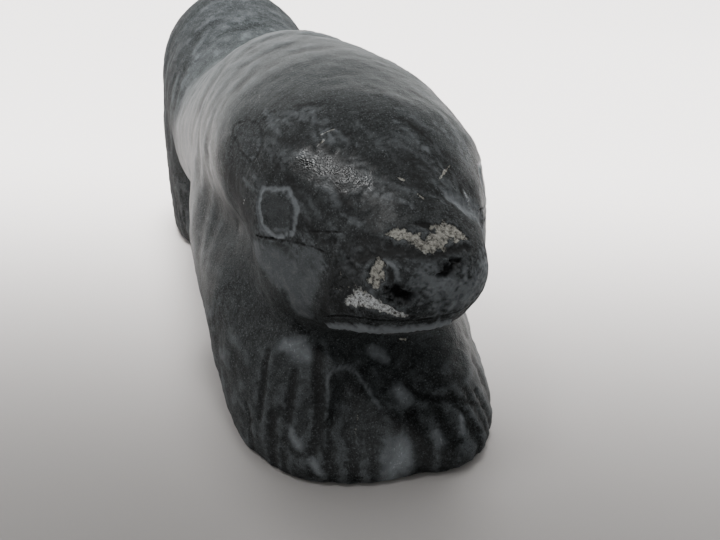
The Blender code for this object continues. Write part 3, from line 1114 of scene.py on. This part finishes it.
@dataclass(frozen=True)
class Table:
    """The plain pale table: matt painted board, so it has hardly any gloss."""
    radius: float = 3000.0
    colour: str = "#b4b0ae"
    roughness: float = 0.85
    shine: float = 0.2
    sides: int = 64

    def build(self) -> bpy.types.Object:
        """Makes the table top.

        Returns:
            The table.
        """
        disc = bmesh.new()
        bmesh.ops.create_circle(disc, cap_ends=True, segments=self.sides, radius=self.radius * MM)
        made = new_object("table", disc)
        board = bpy.data.materials.new("matt_board")
        board.use_nodes = True
        shader = board.node_tree.nodes["Principled BSDF"]
        shader.inputs["Base Color"].default_value = linear(self.colour)
        shader.inputs["Roughness"].default_value = self.roughness
        shader.inputs["Specular IOR Level"].default_value = self.shine
        made.data.materials.append(board)
        LOG.info("%s: radius %.1f m", made.name, self.radius * MM)
        return made


@dataclass(frozen=True)
class Lamp:
    """One soft lamp: a square panel.

    Attributes:
        name: The lamp's name.
        place: Where its middle is.
        size: The side of the panel.
        power: Its power in watts.
        aim: The point that it faces.
        spread: How wide its light fans out, in degrees.
        turn: How far the panel is turned about the line it shines along, in degrees.
        mirrored: Whether the gloss of the stone shows the panel.
        fills: Whether it lights what is not glossy.
    """
    name: str
    place: Point
    size: float
    power: float
    aim: Point = (0.0, -10.0, 15.0)
    spread: float = 180.0
    turn: float = 0.0
    mirrored: bool = True
    fills: bool = True

    def build(self) -> bpy.types.Object:
        """Hangs the lamp.

        Returns:
            The light's object.
        """
        light = bpy.data.lights.new(self.name, "AREA")
        light.shape = "SQUARE"
        light.size = self.size * MM
        light.energy = self.power
        light.spread = math.radians(self.spread)
        made = bpy.data.objects.new(self.name, light)
        made.location = Vector(self.place) * MM
        towards = (Vector(self.aim) - Vector(self.place)).normalized()
        facing = towards.to_track_quat("-Z", "Y") @ Quaternion((0.0, 0.0, 1.0), math.radians(self.turn))
        made.rotation_euler = facing.to_euler()
        made.visible_camera = False
        made.visible_glossy = self.mirrored
        made.visible_diffuse = self.fills
        bpy.context.scene.collection.objects.link(made)
        return made


@dataclass(frozen=True)
class Room:
    """The room round the table, by how bright it is each way: palest low behind the bear, dim in front."""
    behind: float = 2.7
    left: float = 1.5
    right: float = 0.45
    front: float = 0.46
    ceiling: float = 0.3
    tint: str = "#f5f6f5"

    def build(self) -> bpy.types.World:
        """Sets the room's light.

        Returns:
            The world, which is also made the scene's own.
        """
        world = bpy.data.worlds.new("room")
        world.use_nodes = True
        tree = world.node_tree
        towards = add(tree, "ShaderNodeTexCoord").outputs["Generated"]
        split = add(tree, "ShaderNodeSeparateXYZ", {"Vector": towards})
        level = self.right
        for axis, low, high, kept, changed, amount in (
                ("X", -0.7, 0.7, "To Min", "To Max", self.left),
                ("Y", 0.35, 0.85, "To Min", "To Max", self.behind),
                ("Y", -0.3, 0.6, "To Max", "To Min", self.front),
                ("Z", 0.42, 0.78, "To Min", "To Max", self.ceiling)):
            level = add(tree, "ShaderNodeMapRange", {"Value": split.outputs[axis], "From Min": low,
                                                     "From Max": high, kept: level, changed: amount},
                        interpolation_type="SMOOTHSTEP").outputs["Result"]
        backdrop = tree.nodes["Background"]
        backdrop.inputs["Color"].default_value = linear(self.tint)
        tree.links.new(level, backdrop.inputs["Strength"])
        bpy.context.scene.world = world
        return world


@dataclass(frozen=True)
class Studio:
    """The soft light: bright behind and on the bear's left, dim in front, where the camera stands close."""
    lamps: tuple[Lamp, ...] = (
        Lamp("sky_panel", (543.0, 1077.0, 200.0), 2400.0, 142.0, (543.0, 1077.0, 0.0), spread=40.0,
             turn=-26.0, mirrored=False),
        Lamp("left_panel", (330.0, 110.0, 200.0), 220.0, 0.3, mirrored=False),
        Lamp("top_lamp", (-190.0, -90.0, 420.0), 90.0, 0.38, (0.0, -38.0, 25.0)),
        Lamp("glint_lamp", (-190.0, -90.0, 420.0), 38.0, 3.8, (0.0, -38.0, 25.0), fills=False))
    room: Room = Room()

    def build(self) -> None:
        """Hangs the lamps and sets the light of the room."""
        for lamp in self.lamps:
            lamp.build()
        self.room.build()
        LOG.info("studio: %d lamps", len(self.lamps))


@dataclass(frozen=True)
class Camera:
    """A small camera held close to the face, a little above it and to the bear's right."""
    azimuth: float = -20.2
    elevation: float = 26.5
    distance: float = 67.2
    target: Point = (0.0, -31.7, 17.3)
    focal_pixels: float = 637.4
    frame_pixels: float = 720.0
    sensor: float = 36.0
    nearest: float = 1.0
    farthest: float = 100000.0

    def build(self) -> bpy.types.Object:
        """Sets the camera up.

        Returns:
            The camera, which is also made the scene's own.
        """
        turn, rise = math.radians(self.azimuth), math.radians(self.elevation)
        back = Vector((math.sin(turn) * math.cos(rise), -math.cos(turn) * math.cos(rise), math.sin(rise)))
        lens = bpy.data.cameras.new("close_up")
        lens.sensor_width = self.sensor
        lens.lens = self.focal_pixels / self.frame_pixels * self.sensor
        lens.clip_start = self.nearest * MM
        lens.clip_end = self.farthest * MM
        made = bpy.data.objects.new("close_up", lens)
        made.location = (Vector(self.target) + back * self.distance) * MM
        made.rotation_euler = back.to_track_quat("Z", "Y").to_euler()
        bpy.context.scene.collection.objects.link(made)
        bpy.context.scene.camera = made
        return made


def main() -> None:
    """Builds the bear, the table, the light and the camera, in that order."""
    logging.basicConfig(level=logging.INFO, format="%(name)s %(message)s")
    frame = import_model()
    Bear(frame["nodes"]["bear"]).build()
    Table().build()
    Studio().build()
    Camera().build()


if __name__ == "__main__":
    main()
